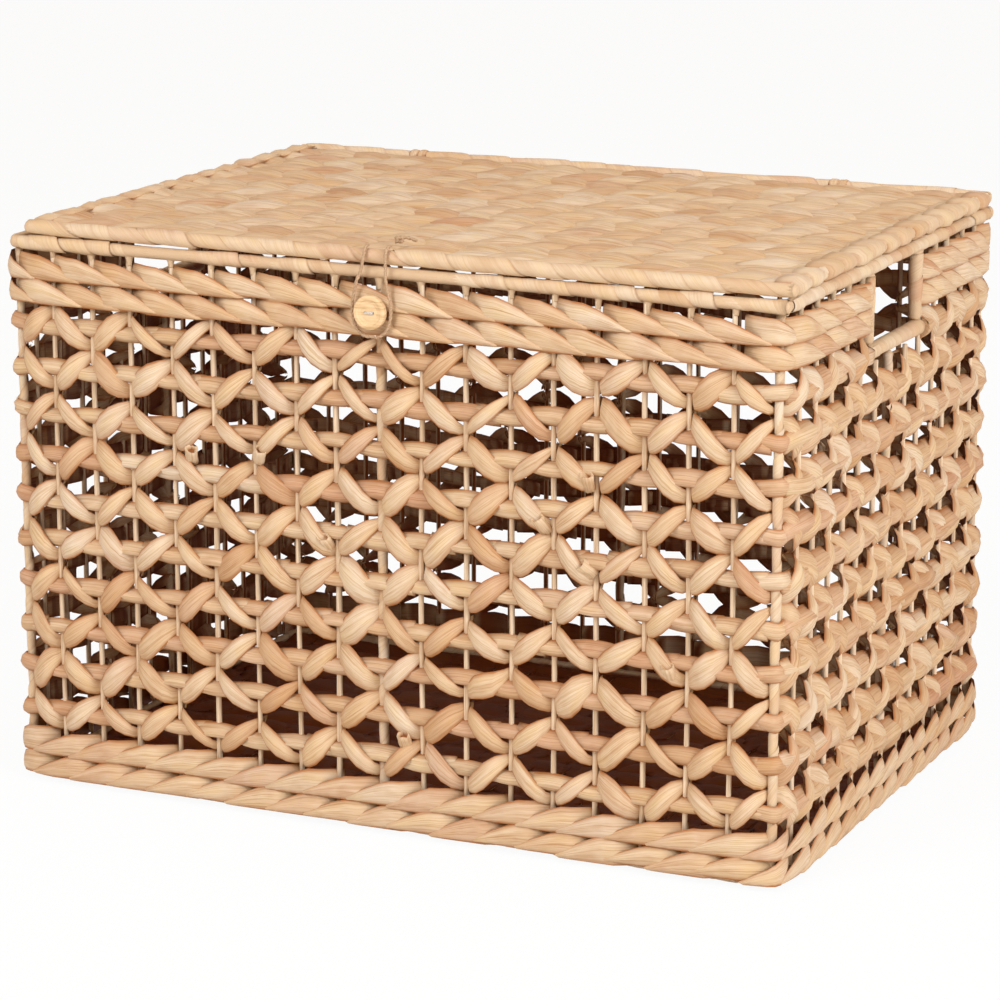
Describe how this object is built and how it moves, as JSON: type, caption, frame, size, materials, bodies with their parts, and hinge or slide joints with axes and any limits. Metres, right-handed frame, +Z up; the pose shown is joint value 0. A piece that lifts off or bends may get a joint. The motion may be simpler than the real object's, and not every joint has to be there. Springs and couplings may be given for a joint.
{
  "type": "woven lidded box",
  "caption": "Rectangular open star-weave storage box of flat leaf on upright stakes, with a hinged woven lid, a handle hole in each end and a button and twine closure.",
  "frame": {"origin": "on the floor, under the middle of the four walls", "axes": "+X along the long front wall to the right, the front faces -Y, +Z up"},
  "size_m": [0.5156, 0.3758, 0.3582],
  "materials": {
    "leaf_weave": "dry flat plant leaf, matte with a faint satin sheen along the fibres",
    "leaf_wrap": "rod wound with a narrow strip of dry leaf, matte",
    "stake": "pale peeled stick, smooth and matte",
    "button_wood": "turned pale wood, satin",
    "cotton_thread": "white cotton thread, matte",
    "jute_twine": "two-ply jute twine, hairy and matte"
  },
  "bodies": {
    "basket": {"base_weave": "leaf_weave", "base_rim": "leaf_wrap", "corner_post_front_left": "leaf_wrap", "corner_post_front_right": "leaf_wrap", "corner_post_back_left": "leaf_wrap", "corner_post_back_right": "leaf_wrap", "stakes_front": "stake", "stakes_back": "stake", "stakes_left": "stake", "stakes_right": "stake", "centre_post_front": "leaf_wrap", "centre_post_back": "leaf_wrap", "centre_post_left": "leaf_wrap", "centre_post_right": "leaf_wrap", "star_weave_front": "leaf_weave", "star_weave_back": "leaf_weave", "star_weave_left": "leaf_weave", "star_weave_right": "leaf_weave", "foot_band_lower_front": "leaf_weave", "foot_band_lower_back": "leaf_weave", "foot_band_lower_left": "leaf_weave", "foot_band_lower_right": "leaf_weave", "foot_band_upper_front": "leaf_weave", "foot_band_upper_back": "leaf_weave", "foot_band_upper_left": "leaf_weave", "foot_band_upper_right": "leaf_weave", "rim_band_lower_front": "leaf_weave", "rim_band_lower_back": "leaf_weave", "rim_band_lower_left_a": "leaf_weave", "rim_band_lower_left_b": "leaf_weave", "rim_band_lower_right_a": "leaf_weave", "rim_band_lower_right_b": "leaf_weave", "rim_band_upper_front": "leaf_weave", "rim_band_upper_back": "leaf_weave", "rim_band_upper_left_a": "leaf_weave", "rim_band_upper_left_b": "leaf_weave", "rim_band_upper_right_a": "leaf_weave", "rim_band_upper_right_b": "leaf_weave", "handle_bar_left": "leaf_wrap", "handle_bar_right": "leaf_wrap", "handle_post_left_a": "leaf_wrap", "handle_post_left_b": "leaf_wrap", "handle_post_right_a": "leaf_wrap", "handle_post_right_b": "leaf_wrap", "rim_rod_front": "leaf_wrap", "rim_rod_back": "leaf_wrap", "rim_rod_left": "leaf_wrap", "rim_rod_right": "leaf_wrap", "hinge_tie_left": "leaf_weave", "hinge_tie_right": "leaf_weave", "button": "button_wood", "button_thread": "cotton_thread"},
    "lid": {"lid_rod_front": "leaf_wrap", "lid_rod_back": "leaf_wrap", "lid_rod_left": "leaf_wrap", "lid_rod_right": "leaf_wrap", "lid_weave": "leaf_weave", "closure_knot": "jute_twine"},
    "twine_loop": {"closure_loop": "jute_twine"}
  },
  "joints": [
    {"name": "lid_hinge", "type": "hinge", "parent": "basket", "child": "lid", "pos_m": [0, 0.176, 0.3473], "axis": [-1, 0, 0], "range_deg": [0, 180]},
    {"name": "loop_swing", "type": "hinge", "parent": "lid", "child": "twine_loop", "pos_m": [0, -0.176, 0.3473], "axis": [-1, 0, 0], "range_deg": [0, 120]}
  ]
}
